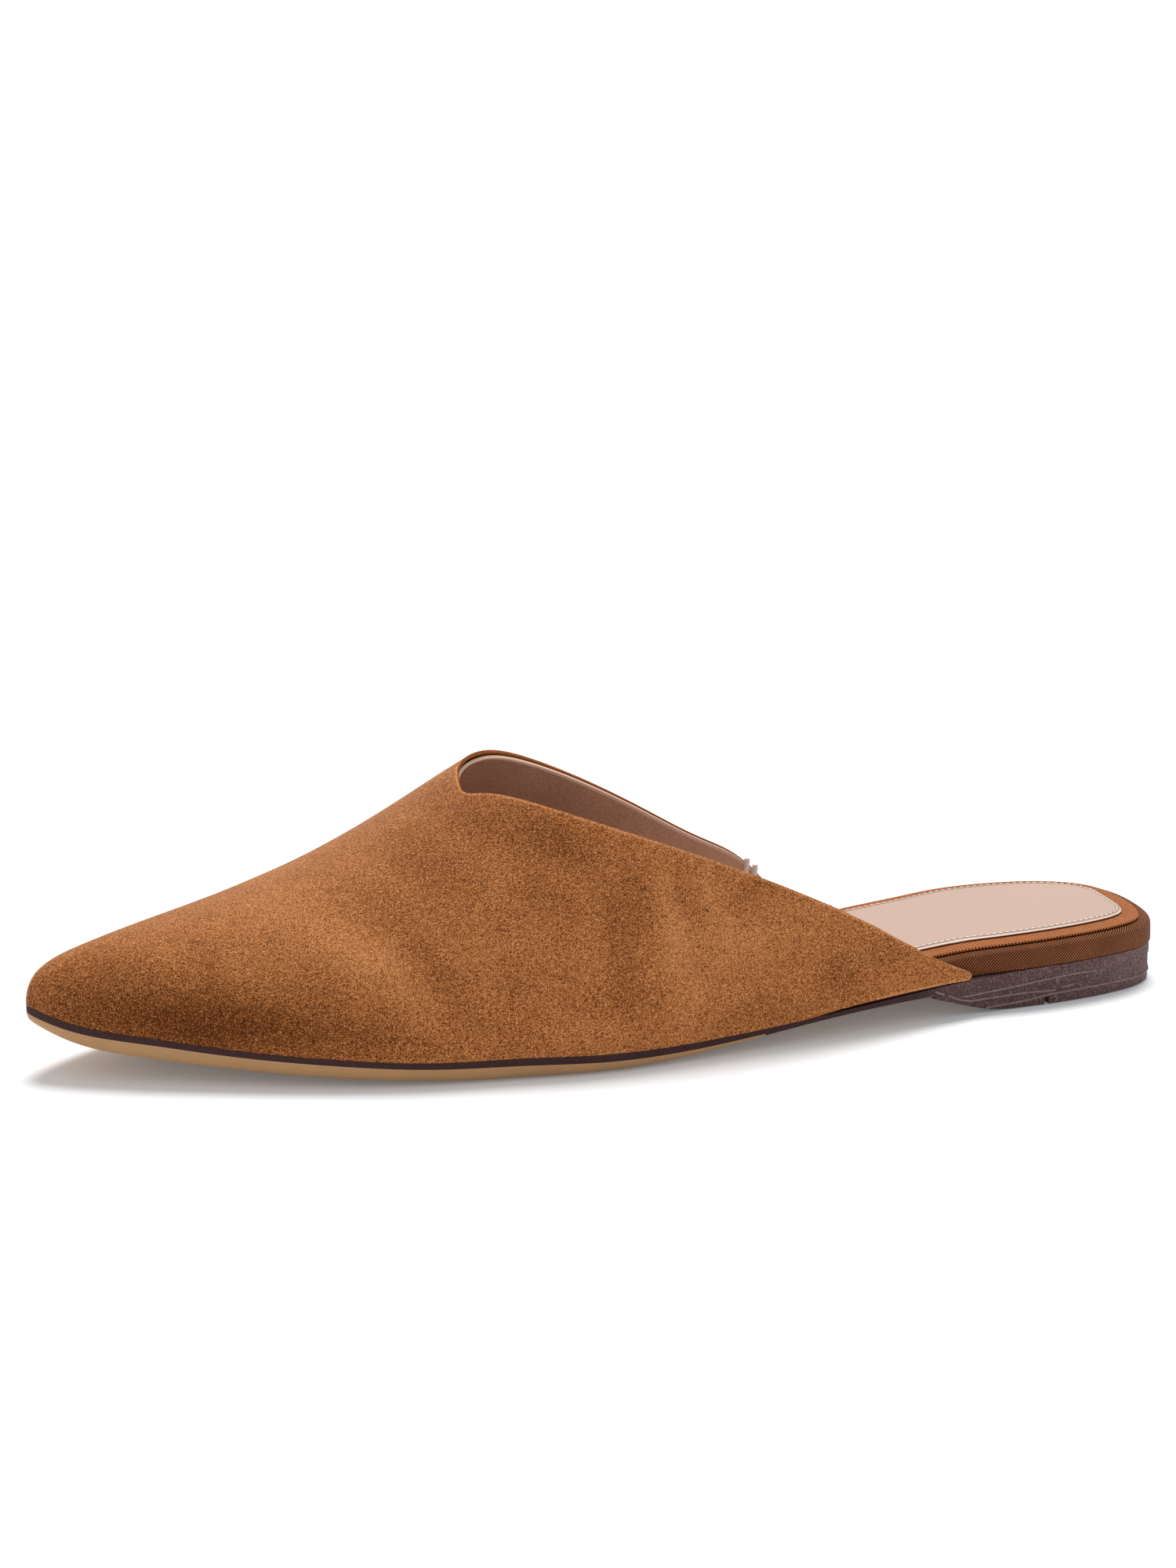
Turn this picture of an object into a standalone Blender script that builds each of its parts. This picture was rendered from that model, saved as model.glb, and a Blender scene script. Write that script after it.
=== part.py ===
"""Backless pointed-toe flat (a mule), left shoe: upper, outsole, heel, insole board, footbed pad, sock.

World frame: +X to the heel, -X to the toe, +Y to the inner (medial) side, +Z up.  The shoe stands on
z = 0 with the middle of its outline at the origin.  The flat layers are lofts through one row of
stations, from the toe tip (row 0) to the back of the heel.  A section runs from the sole's edge in to
a spine point; near the toe and heel the sections fan out, and the end ones fold flat onto the middle.
The upper's sections are Bezier curves from the crest over the spine down to the same edge.
"""
from collections import namedtuple

import bmesh
import bpy
import numpy as np

MM = 0.001

# ---- driving dimensions --------------------------------------------------------------------------
LENGTH = 262.0 * MM          # toe tip to back of heel, over the sole
BALL_WIDTH = 79.0 * MM       # across the widest part of the sole
INSTEP_HEIGHT = 62.0 * MM    # crest of the last behind the throat, above the floor
HEEL_HEIGHT = 9.5 * MM       # nominal; the sole's heights are shares of it

GAP = 0.3 * MM               # clearance between pieces that touch
UPPER_WALL = 2.0 * MM        # suede and lining together
TIP_WALL = 1.2 * MM          # the same, skived thin at the tips of the wings
UPPER_MARGIN = 0.5 * MM      # how far the sole's edge stands proud of the upper
HEEL_MARGIN = 0.6 * MM       # how far the sole's edge is trimmed in at the heel
BLOCK_MARGIN = 0.8 * MM      # the same for the heel block
BOARD_TOP = 5.1 * MM         # insole board above the outsole
BOARD_ROUND = 1.0 * MM       # rounding of the board's top edge
BOARD_HEEL_INSET = 0.3 * MM  # board from the sole's edge behind the wings
PAD_INSET = 2.8 * MM         # footbed pad in from the board's edge
PAD_THICK = 0.6 * MM
SOCK_INSET = 4.1 * MM        # sock in from the pad's edge at the heel
SOCK_FORE_INSET = 1.6 * MM   # the same under the vamp
SOCK_THICK = 0.5 * MM
NOTCH_STATION = 33.5 * MM    # slot across the underside of the heel, from the back
NOTCH_WIDTH = 1.2 * MM
NOTCH_DEPTH = 1.8 * MM
BLOCK_ROUND = 0.6 * MM       # rounding of the heel block's lower edge
THIN_ROUND = 0.3 * MM        # rounding of the pad's and the sock's top edges
SQUARE_REACH = 3.0 * MM      # an inset up to this is square to the outline; the rest fans inwards

# ---- where sizes change along the shoe, hundredths of LENGTH from the heel's back -----------------
HEEL_TRIM_ENDS = (15, 22)    # the sole's edge goes from its heel margin to none
BOARD_NARROWS = (15, 20)     # the board draws in from the sole's edge to lie inside the wings
WALL_THICKENS = (22, 36)     # the upper's wall goes from TIP_WALL to UPPER_WALL
SOCK_WIDENS = (30, 50)       # the sock's inset goes from SOCK_INSET to SOCK_FORE_INSET

# ---- sections ------------------------------------------------------------------------------------
# Sole rows, toe tip to heel back.  station and spine: hundredths of LENGTH from the heel's back;
# lateral, medial and middle: hundredths of BALL_WIDTH from the centre line (medial is +);
# feather (top of the outsole), floor (its underside) and edge (height of its upright edge):
# hundredths of HEEL_HEIGHT; bevel: the underside's inset from the edge, hundredths of BALL_WIDTH.
SoleRow = namedtuple("SoleRow", "station lateral medial spine middle feather floor edge bevel")
SOLE = [
    SoleRow(100.0,   2.4,   2.4, 94.3,  2.4, 168, 136, 20, 1.8),
    SoleRow( 97.3,  -7.4,  12.2, 92.7,  3.3, 139,  92, 18, 3.3),
    SoleRow( 92.4, -17.2,  23.3, 89.3,  3.5, 117,  59, 15, 4.4),
    SoleRow( 85.5, -28.1,  35.1, 84.0,  3.8,  92,  36, 14, 4.6),
    SoleRow( 77.1, -39.8,  45.2, 76.8,  4.6,  72,  17, 14, 4.6),
    SoleRow( 69.1, -46.6,  48.5, 69.1,  6.6,  58,   4, 15, 4.6),
    SoleRow( 61.8, -49.5,  46.3, 61.8,  8.2,  56,  -3, 18, 4.6),
    SoleRow( 54.2, -51.3,  40.8, 54.2,  8.2,  48,  -2, 19, 4.3),
    SoleRow( 43.9, -46.9,  33.1, 43.9,  5.0,  48,  18, 16, 3.5),
    SoleRow( 32.4, -40.8,  29.7, 32.4,  0.5,  65,  51, 10, 3.4),
    SoleRow( 19.8, -34.6,  33.3, 19.8, -1.3,  89,  60, 21, 1.2),
    SoleRow( 11.5, -32.4, 33.6, 12.5,  0.0,  96,  65, 28, 0.4),
    SoleRow(  5.3, -28.0, 29.6,  8.8,  0.0,  96,  65, 28, 0.4),
    SoleRow(  1.1, -18.5, 18.7,  7.3,  0.0,  95,  65, 27, 0.4),
    SoleRow(  0.0,   0.0,  0.0,  7.0,  0.0,  95,  65, 27, 0.4),
]
# Upper rows, at the first stations above.  crest: height over the spine, hundredths of INSTEP_HEIGHT;
# shoulder: how far the section stays near its crest before it turns down, as a share of its width;
# side: how far it stays upright above the feather, as a share of its height, on the outer and inner
# sides; swell: how far it leans out there, hundredths of BALL_WIDTH.
UpperRow = namedtuple("UpperRow", "crest shoulder side_lateral side_medial swell")
UPPER = [
    UpperRow( 45.5, .60, .60, .60, 1.6),
    UpperRow( 46.8, .60, .60, .60, 1.6),
    UpperRow( 49.6, .63, .59, .59, 1.8),
    UpperRow( 54.4, .60, .56, .58, 2.0),
    UpperRow( 63.1, .56, .54, .57, 2.5),
    UpperRow( 77.3, .53, .52, .56, 3.1),
    UpperRow( 94.4, .52, .50, .56, 3.1),
    UpperRow(110.0, .52, .50, .56, 3.1),
    UpperRow(127.4, .52, .50, .56, 2.5),
    UpperRow(142.0, .52, .50, .56, 1.6),
    UpperRow(151.6, .52, .50, .56, 1.0),
]
# The outsole's rounded underside: inset and drop from its upright edge, as shares of the bevel.
BevelStep = namedtuple("BevelStep", "inset drop")
BEVEL_STEPS = [
    BevelStep(0.00, 0.00),
    BevelStep(0.14, 0.45),
    BevelStep(0.45, 0.82),
    BevelStep(1.00, 1.00),
]
# Heel block underside: hundredths of LENGTH from the back, hundredths of HEEL_HEIGHT from the floor.
BreastRow = namedtuple("BreastRow", "station floor")
BREAST = [
    BreastRow(23.7, 45),
    BreastRow(21.9, 35),
    BreastRow(19.5, 12),
    BreastRow(17.3, 0),
]
# Topline from the tip of the outer wing, over the throat, to the tip of the inner wing.  along: 0 at
# the throat, 1 at a wing's tip; across: -1 on the outer feather edge, 0 on the crest, 1 on the inner.
ToplineRow = namedtuple("ToplineRow", "along across")
TOPLINE = [
    ToplineRow(-1.00, -.985),
    ToplineRow( -.80, -.797),
    ToplineRow( -.60, -.617),
    ToplineRow( -.45, -.481),
    ToplineRow( -.30, -.333),
    ToplineRow( -.15, -.200),
    ToplineRow(  .00, -.125),
    ToplineRow(  .15,  .050),
    ToplineRow(  .30,  .236),
    ToplineRow(  .45,  .424),
    ToplineRow(  .60,  .593),
    ToplineRow(  .70,  .698),
    ToplineRow(  .80,  .793),
    ToplineRow(  .87,  .863),
    ToplineRow(  .89,  .898),
    ToplineRow( 1.00,  .981),
]
WING_TIP = dict(lateral=19.8, medial=24.4)   # stations of the wings' tips, hundredths of LENGTH
THROAT = 62.7                # station of the throat, hundredths of LENGTH
THROAT_ROUND = 1.8           # the topline leaves the throat by this power, which rounds it
SOLE_STEPS = 3               # mesh rows between two sole rows
BLOCK_ROW = 11               # the sole row where the heel block leaves its breast's even mesh rows
BREAST_STEPS = 7             # mesh rows along the breast
FAN_COLUMNS = 34             # the upper's mesh columns on each side, from the topline to the feather
FAN_ROWS = 22                # its mesh rows between those two edges
FAN_CROWDING = 1.15          # columns crowd towards the toe by this power
FAN_SPREAD = 0.5             # how much sooner a column's foot moves back along the toe than its head
FOLD_SCALE = 0.25            # elliptic coordinate for each sole row, which opens the toe's fold flat

SIDES = ("lateral", "medial")


def curve(knots, values, flat_start=False, flat_end=False):
    """Cubic curve through the knots, with free ends or ends held level."""
    knots = np.asarray(knots, float)
    values = np.asarray(values, float)
    count = len(knots)
    step = np.diff(knots)
    slope = np.diff(values) / step
    matrix = np.zeros((count, count))
    right = np.zeros(count)
    matrix[0, 0] = matrix[-1, -1] = 1.0
    for i in range(1, count - 1):
        matrix[i, i - 1:i + 2] = step[i - 1], 2 * (step[i - 1] + step[i]), step[i]
        right[i] = 6 * (slope[i] - slope[i - 1])
    if flat_start:
        matrix[0, :2] = 2 * step[0], step[0]
        right[0] = 6 * slope[0]
    if flat_end:
        matrix[-1, -2:] = step[-1], 2 * step[-1]
        right[-1] = -6 * slope[-1]
    bend = np.linalg.solve(matrix, right)

    def value(at):
        at = np.clip(at, knots[0], knots[-1])
        i = np.clip(np.searchsorted(knots, at) - 1, 0, count - 2)
        after = at - knots[i]
        before = knots[i + 1] - at
        cubic = (bend[i] * before ** 3 + bend[i + 1] * after ** 3) / (6 * step[i])
        line = ((values[i] / step[i] - bend[i] * step[i] / 6) * before
                + (values[i + 1] / step[i] - bend[i + 1] * step[i] / 6) * after)
        return cubic + line
    return value


def columns(rows, scales, folds_behind):
    """One curve over the row number for each column; at a fold only the side columns are free."""
    made = {}
    for name in rows[0]._fields:
        values = np.array([getattr(row, name) for row in rows]) * scales[name] / 100
        level = name not in SIDES
        made[name] = curve(range(len(rows)), values, level, level and folds_behind)
    return made


SOLE_CURVES = columns(SOLE, dict(
    station=LENGTH, lateral=BALL_WIDTH, medial=BALL_WIDTH, spine=LENGTH, middle=BALL_WIDTH,
    feather=HEEL_HEIGHT, floor=HEEL_HEIGHT, edge=HEEL_HEIGHT, bevel=BALL_WIDTH), True)
UPPER_CURVES = columns(UPPER, dict(
    crest=INSTEP_HEIGHT, shoulder=100, side_lateral=100, side_medial=100, swell=BALL_WIDTH), False)


def profile(rows, name):
    """A height as a curve over the station."""
    ordered = sorted(rows)
    return curve([row.station * LENGTH / 100 for row in ordered],
                 [getattr(row, name) * HEEL_HEIGHT / 100 for row in ordered])


FEATHER = profile(SOLE, "feather")
FLOOR = profile(SOLE, "floor")
BREAST_FLOOR = profile(BREAST, "floor")


def edge_point(row, side, inset):
    """Station and width of the sole's edge moved in: square to the outline, then to the spine."""
    tiny = 0.001
    ahead = np.clip(row - tiny, 0, None)
    behind = np.clip(row + tiny, None, len(SOLE) - 1)
    station, width = SOLE_CURVES["station"], SOLE_CURVES[side]
    along = station(behind) - station(ahead)
    across = width(behind) - width(ahead)
    square = np.minimum(inset, SQUARE_REACH) / np.hypot(along, across)
    turn = 1 if side == "lateral" else -1
    edge_station = station(row) + turn * square * across
    edge_width = width(row) - turn * square * along
    in_station = SOLE_CURVES["spine"](row) - edge_station
    in_width = SOLE_CURVES["middle"](row) - edge_width
    rest = np.maximum(inset - SQUARE_REACH, 0) / np.hypot(in_station, in_width)
    return edge_station + rest * in_station, edge_width + rest * in_width


def inner_point(row, side, inset, share):
    """A point a share of the way from the inset edge to the spine."""
    station, width = edge_point(row, side, inset)
    spine, middle = SOLE_CURVES["spine"](row), SOLE_CURVES["middle"](row)
    return station + (spine - station) * share, width + (middle - width) * share


def outline_middle():
    """Halfway between the outline's two widest points, measured from the centre line."""
    rows = np.linspace(0, len(SOLE) - 1, 2001)
    return (SOLE_CURVES["lateral"](rows).min() + SOLE_CURVES["medial"](rows).max()) / 2


OUTLINE_MIDDLE = outline_middle()


def place(station, width, height):
    """World points from stations, widths from the centre line and heights above the floor."""
    return np.stack(np.broadcast_arrays(LENGTH / 2 - station, width - OUTLINE_MIDDLE, height), axis=-1)


def ring_loft(name, rings, colour, open_front=False):
    """A closed solid through rings of points; folded end rings close themselves."""
    count = rings.shape[1]
    mesh = bmesh.new()
    verts = [[mesh.verts.new(point) for point in ring] for ring in rings]
    for one, two in zip(verts, verts[1:]):
        for i in range(count):
            after = (i + 1) % count
            mesh.faces.new((one[i], one[after], two[after], two[i]))
    if open_front:
        mesh.faces.new(verts[0])
    return finish_mesh(name, mesh, colour)


def finish_mesh(name, mesh, colour):
    bmesh.ops.remove_doubles(mesh, verts=mesh.verts, dist=0.01 * MM)
    bmesh.ops.dissolve_degenerate(mesh, dist=0.01 * MM, edges=mesh.edges)
    bmesh.ops.recalc_face_normals(mesh, faces=mesh.faces)
    data = bpy.data.meshes.new(name)
    mesh.to_mesh(data)
    mesh.free()
    data.shade_smooth()
    made = bpy.data.objects.new(name, data)
    parts.objects.link(made)
    data.materials.append(colour)
    return made


def material(name, colour, roughness, metallic=0.0):
    made = bpy.data.materials.new(name)
    made.use_nodes = True
    shader = made.node_tree.nodes["Principled BSDF"]
    shader.inputs["Base Color"].default_value = (*colour, 1)
    shader.inputs["Roughness"].default_value = roughness
    shader.inputs["Metallic"].default_value = metallic
    return made


def sole_rows(first=0, last=len(SOLE) - 1):
    return np.linspace(first, last, (last - first) * SOLE_STEPS + 1)


def row_at(station):
    """The row number where the sole's edge is at a station."""
    rows = np.linspace(0, len(SOLE) - 1, 2001)
    return np.interp(-station, -SOLE_CURVES["station"](rows), rows)


def blend(station, low, high):
    """0 below the low station, 1 above the high one, easing between (hundredths of LENGTH)."""
    share = np.clip((station / LENGTH * 100 - low) / (high - low), 0, 1)
    return share * share * (3 - 2 * share)


def slab(rows, inset, levels):
    """Rings for a layer: levels are (inset beyond the layer's own, height above the feather)."""
    shares = (1 / 3, 2 / 3, 1)
    low, high = levels[0][1], levels[-1][1]
    half = {}
    for side in SIDES:
        points = []
        for share in reversed(shares):
            station, width = inner_point(row=rows, side=side, inset=inset, share=share)
            points.append(place(station, width, FEATHER(station) + low))
        for extra, height in levels:
            station, width = edge_point(rows, side, inset + extra)
            points.append(place(station, width, FEATHER(station) + height))
        for share in shares:
            station, width = inner_point(rows, side, inset + levels[-1][0], share)
            points.append(place(station, width, FEATHER(station) + high))
        half[side] = points
    ring = half["lateral"] + half["medial"][-2:0:-1]
    return np.stack(ring, axis=1)


def board_inset(rows):
    """The board stays inside the upper, and comes out to the sole's edge behind the wings."""
    station = SOLE_CURVES["station"](rows)
    under = UPPER_MARGIN + wall_at(station) + 1.5 * GAP
    return BOARD_HEEL_INSET + (under - BOARD_HEEL_INSET) * blend(station, *BOARD_NARROWS)


def wall_at(station):
    """The upper's wall, skived thin towards the wings' tips."""
    return TIP_WALL + (UPPER_WALL - TIP_WALL) * blend(station, *WALL_THICKENS)


def make_outsole(colour):
    """Full-length sole: an upright edge, a rounded bevel under it, toe spring and waist."""
    rows = sole_rows()
    heel = HEEL_MARGIN * (1 - blend(SOLE_CURVES["station"](rows), *HEEL_TRIM_ENDS))
    half = {}
    for side in SIDES:
        points = []
        for share in (1, 2 / 3, 1 / 3, 0):
            station, width = inner_point(rows, side, heel, share)
            points.append(place(station, width, FEATHER(station)))
        top = FEATHER(SOLE_CURVES["station"](rows))
        depth = top - SOLE_CURVES["edge"](rows)
        bevel = SOLE_CURVES["bevel"](rows)
        under_station, _ = edge_point(rows, side, heel + bevel)
        under = underside(under_station)
        for step in BEVEL_STEPS:
            station, width = edge_point(rows, side, heel + step.inset * bevel)
            points.append(place(station, width, depth + (under - depth) * step.drop))
        for share in (0.5, 1):
            station, width = inner_point(rows, side, heel + bevel, share)
            points.append(place(station, width, underside(station)))
        half[side] = points
    return ring_loft("outsole", np.stack(half["lateral"] + half["medial"][-2:0:-1], axis=1), colour)


def underside(station):
    """The outsole's underside, never below the floor."""
    return np.maximum(FLOOR(station), 0)


def make_heel(colour):
    """Low heel block under the outsole, with a sloping breast and a slot across it."""
    front = row_at(BREAST[0].station * LENGTH / 100)
    rows = np.append(np.linspace(front, BLOCK_ROW, BREAST_STEPS), sole_rows(BLOCK_ROW)[1:])
    half = {}
    for side in SIDES:
        points = []
        for share in (1, 0.5, 0):
            station, width = inner_point(rows, side, BLOCK_MARGIN, share)
            points.append(place(station, width, underside(station) - GAP))
        for inset, lift in ((0, 1), (0.3, 0.3), (1, 0)):
            station, width = edge_point(rows, side, BLOCK_MARGIN + inset * BLOCK_ROUND)
            points.append(place(station, width, block_floor(station) + lift * BLOCK_ROUND))
        for share in (0.5, 1):
            station, width = inner_point(rows, side, BLOCK_MARGIN + BLOCK_ROUND, share)
            points.append(place(station, width, block_floor(station)))
        half[side] = points
    rings = np.stack(half["lateral"] + half["medial"][-2:0:-1], axis=1)
    block = ring_loft("heel", rings, colour, open_front=True)
    cutter = add_cutter("heel_slot", (LENGTH / 2 - NOTCH_STATION, 0, 0),
                        (NOTCH_WIDTH, BALL_WIDTH, 2 * NOTCH_DEPTH))
    cut = block.modifiers.new("slot", "BOOLEAN")
    cut.operation = "DIFFERENCE"
    cut.object = cutter
    return block


def block_floor(station):
    """The heel block's underside, never below the floor."""
    return np.maximum(BREAST_FLOOR(station), 0)


def add_cutter(name, middle, size):
    bpy.ops.mesh.primitive_cube_add(size=1, location=middle, scale=size)
    cutter = bpy.context.object
    cutter.name = name
    bpy.ops.object.transform_apply(location=False, rotation=False, scale=True)
    cutter.hide_render = True
    cutter.display_type = "WIRE"
    for collection in cutter.users_collection:
        collection.objects.unlink(cutter)
    cutters.objects.link(cutter)
    return cutter


def make_insole_board(colour):
    """Covered board between the wings; its rounded side is the band that shows at the heel."""
    rows = sole_rows()
    levels = ((0, GAP), (0, BOARD_TOP - BOARD_ROUND),
              (0.3 * BOARD_ROUND, BOARD_TOP - 0.3 * BOARD_ROUND), (BOARD_ROUND, BOARD_TOP))
    return ring_loft("insole_board", slab(rows, board_inset(rows), levels), colour)


def make_footbed_pad(colour):
    """Thin covered pad on the board, seen as a second step inside its edge."""
    rows = sole_rows()
    low = BOARD_TOP + GAP
    top = low + PAD_THICK
    levels = ((0, low), (0, top - THIN_ROUND), (THIN_ROUND, top))
    return ring_loft("footbed_pad", slab(rows, board_inset(rows) + PAD_INSET, levels), colour)


def make_sock(colour):
    """Leather sock on the pad."""
    rows = sole_rows()
    station = SOLE_CURVES["station"](rows)
    low = BOARD_TOP + PAD_THICK + 2 * GAP
    own = SOCK_INSET + (SOCK_FORE_INSET - SOCK_INSET) * blend(station, *SOCK_WIDENS)
    levels = ((0, low), (THIN_ROUND, low + SOCK_THICK))
    return ring_loft("sock", slab(rows, board_inset(rows) + PAD_INSET + own, levels), colour)


def upper_point(row, across):
    """A point of the upper's outside: across runs from -1 (outer feather) over 0 (crest) to 1."""
    row, across = np.broadcast_arrays(row, across)
    value = {name: at(row) for name, at in UPPER_CURVES.items()}
    spine = SOLE_CURVES["spine"](row)
    middle = SOLE_CURVES["middle"](row)
    tiny = 0.001
    ahead, behind = np.clip(row - tiny, tiny, None), row + 2 * tiny
    fall = ((UPPER_CURVES["crest"](behind) - UPPER_CURVES["crest"](ahead))
            / (SOLE_CURVES["spine"](behind) - SOLE_CURVES["spine"](ahead)))
    made = np.zeros(row.shape + (3,))
    for side in SIDES:
        here = across < 0 if side == "lateral" else across >= 0
        station, width = edge_point(row, side, UPPER_MARGIN)
        base = FEATHER(station) + GAP
        out = np.stack([station - spine, width - middle], axis=-1)
        reach = np.linalg.norm(out, axis=-1)
        crest = place(spine, middle, value["crest"])
        feather = place(station, width, base)
        shoulder = place(spine + value["shoulder"] * out[..., 0],
                         middle + value["shoulder"] * out[..., 1],
                         value["crest"] + value["shoulder"] * out[..., 0] * fall)
        lean = value["swell"] / reach
        upright = place(station + lean * out[..., 0], width + lean * out[..., 1],
                        base + value["side_" + side] * (value["crest"] - base))
        t = np.abs(across)[..., None]
        point = ((1 - t) ** 3 * crest + 3 * t * (1 - t) ** 2 * shoulder
                 + 3 * t * t * (1 - t) * upright + t ** 3 * feather)
        made[here] = point[here]
    return made


def fan():
    """Row and across of the upper's mesh: columns run from the topline out to the feather edge.

    Row and across are taken as elliptic coordinates of a half plane.  There the fold at the toe is
    a plain line, so straight columns spread round the toe with no seam.
    """
    topline = curve([row.along for row in TOPLINE], [row.across for row in TOPLINE])
    step = np.linspace(-1, 1, 2 * FAN_COLUMNS + 1)
    size = np.abs(step) ** FAN_CROWDING
    tip = np.where(step < 0, WING_TIP["lateral"], WING_TIP["medial"])
    head_row = row_at((THROAT - (THROAT - tip) * size ** THROAT_ROUND) * LENGTH / 100)
    foot_row = row_at(tip * LENGTH / 100) * size * (1 + FAN_SPREAD * (1 - size))
    side = np.where(step < 0, -1, 1)
    quarter = np.pi / 2
    head = np.cosh(FOLD_SCALE * head_row + 1j * quarter * topline(side * size))
    foot = np.cosh(FOLD_SCALE * foot_row + 1j * quarter * side)
    share = np.linspace(0, 1, FAN_ROWS + 1)[:, None]
    back = np.arccosh(head + (foot - head) * share)
    return back.real / FOLD_SCALE, back.imag / quarter


def make_upper(colour):
    """Vamp and two wings in one lined shell, open at the throat, the back and underneath."""
    points = upper_point(*fan())
    mesh = bmesh.new()
    verts = [[mesh.verts.new(point) for point in row] for row in points]
    for one, two in zip(verts, verts[1:]):
        for i in range(len(one) - 1):
            mesh.faces.new((one[i], two[i], two[i + 1], one[i + 1]))
    shell = finish_mesh("upper", mesh, colour)
    thin_wings(shell)
    wall = shell.modifiers.new("wall", "SOLIDIFY")
    wall.thickness = UPPER_WALL
    wall.offset = -1
    wall.use_even_offset = True
    wall.vertex_group = "wall"
    return shell


def thin_wings(shell):
    """Weights that carry the wall's thickness from full on the vamp to skived at the wing tips."""
    group = shell.vertex_groups.new(name="wall")
    for vertex in shell.data.vertices:
        station = LENGTH / 2 - vertex.co.x
        group.add([vertex.index], float(wall_at(station) / UPPER_WALL), "REPLACE")


for thing in list(bpy.data.objects):
    bpy.data.objects.remove(thing, do_unlink=True)
parts = bpy.data.collections.new("backless_flat")
cutters = bpy.data.collections.new("cutters")
bpy.context.scene.collection.children.link(parts)
bpy.context.scene.collection.children.link(cutters)

make_outsole(material("sole_edge", (0.045, 0.025, 0.028), 0.45))
make_heel(material("heel_block", (0.075, 0.048, 0.050), 0.50))
make_insole_board(material("ribbed_binding", (0.36, 0.12, 0.035), 0.55))
make_footbed_pad(material("pad_binding", (0.33, 0.11, 0.032), 0.60))
make_sock(material("sock_leather", (0.70, 0.51, 0.42), 0.45))
make_upper(material("suede", (0.42, 0.16, 0.045), 0.90))
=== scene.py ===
"""Looks of a backless pointed flat (a mule): napped suede upper, leather lining and sock, ribbed ribbon
round the footbed, painted sole edge and stacked heel, with the floor, lights and camera.

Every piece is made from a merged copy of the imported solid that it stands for, in metres, in the same
place: +X to the heel, +Y to the inner side, +Z up.
"""

import math
from collections import namedtuple

import bmesh
import bpy
import numpy as np
from mathutils import Matrix, Vector
from mathutils.bvhtree import BVHTree
from mathutils.kdtree import KDTree


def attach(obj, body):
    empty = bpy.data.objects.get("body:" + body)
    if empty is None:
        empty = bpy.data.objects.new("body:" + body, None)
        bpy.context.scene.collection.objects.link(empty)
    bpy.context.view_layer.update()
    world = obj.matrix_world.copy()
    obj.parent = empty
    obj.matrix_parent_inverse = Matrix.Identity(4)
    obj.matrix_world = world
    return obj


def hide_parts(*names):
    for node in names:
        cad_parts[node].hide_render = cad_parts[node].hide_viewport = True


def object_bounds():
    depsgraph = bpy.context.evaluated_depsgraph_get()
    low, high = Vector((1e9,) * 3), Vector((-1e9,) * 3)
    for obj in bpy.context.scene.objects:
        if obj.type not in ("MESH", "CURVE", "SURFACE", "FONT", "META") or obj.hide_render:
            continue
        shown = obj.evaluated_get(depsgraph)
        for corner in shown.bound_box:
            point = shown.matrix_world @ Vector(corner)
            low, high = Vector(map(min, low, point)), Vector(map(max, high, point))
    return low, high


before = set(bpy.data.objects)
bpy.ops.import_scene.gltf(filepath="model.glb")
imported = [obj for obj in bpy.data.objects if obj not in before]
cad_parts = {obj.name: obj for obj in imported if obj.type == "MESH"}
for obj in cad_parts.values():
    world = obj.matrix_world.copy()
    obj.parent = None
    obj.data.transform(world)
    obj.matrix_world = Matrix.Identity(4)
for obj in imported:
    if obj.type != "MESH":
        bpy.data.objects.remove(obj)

bl_info = {
    "name": "Backless pointed flat",
    "version": (1, 0, 0),
    "blender": (4, 5, 0),
    "location": "3D View > Sidebar > Flat",
    "description": "Dresses the packed solids of a suede mule and sets its stage",
    "category": "Object",
}

MM = 0.001
BODY = "root"
CAD_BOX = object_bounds()
LENGTH = 262 * MM                       # toe tip to back of heel
HEEL_BACK = CAD_BOX[0].x + LENGTH       # world x of the sole's back edge, where stations start
MERGE = 0.01 * MM
SHARP = math.radians(60)                # bends of more than this stay sharp in a subdivided piece


def between(front, back):
    """Two stations in millimetres as the object coordinates that a finish eases between."""
    return HEEL_BACK / MM - front, HEEL_BACK / MM - back


def rgb(red, green, blue):
    """A colour given as 0 to 255 screen values, as the linear values that Blender holds."""
    return tuple(((part / 255 + 0.055) / 1.055) ** 2.4 for part in (red, green, blue))


# ---- shader maths ---------------------------------------------------------------------------------
class Value:
    """A number that varies over a surface; arithmetic on it adds Math nodes."""

    def __init__(self, finish, socket):
        self.finish = finish
        self.socket = socket

    def __add__(self, other):
        return self.finish.math("ADD", self, other)

    def __sub__(self, other):
        return self.finish.math("SUBTRACT", self, other)

    def __rsub__(self, other):
        return self.finish.math("SUBTRACT", other, self)

    def __mul__(self, other):
        return self.finish.math("MULTIPLY", self, other)

    __radd__ = __add__
    __rmul__ = __mul__


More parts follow.
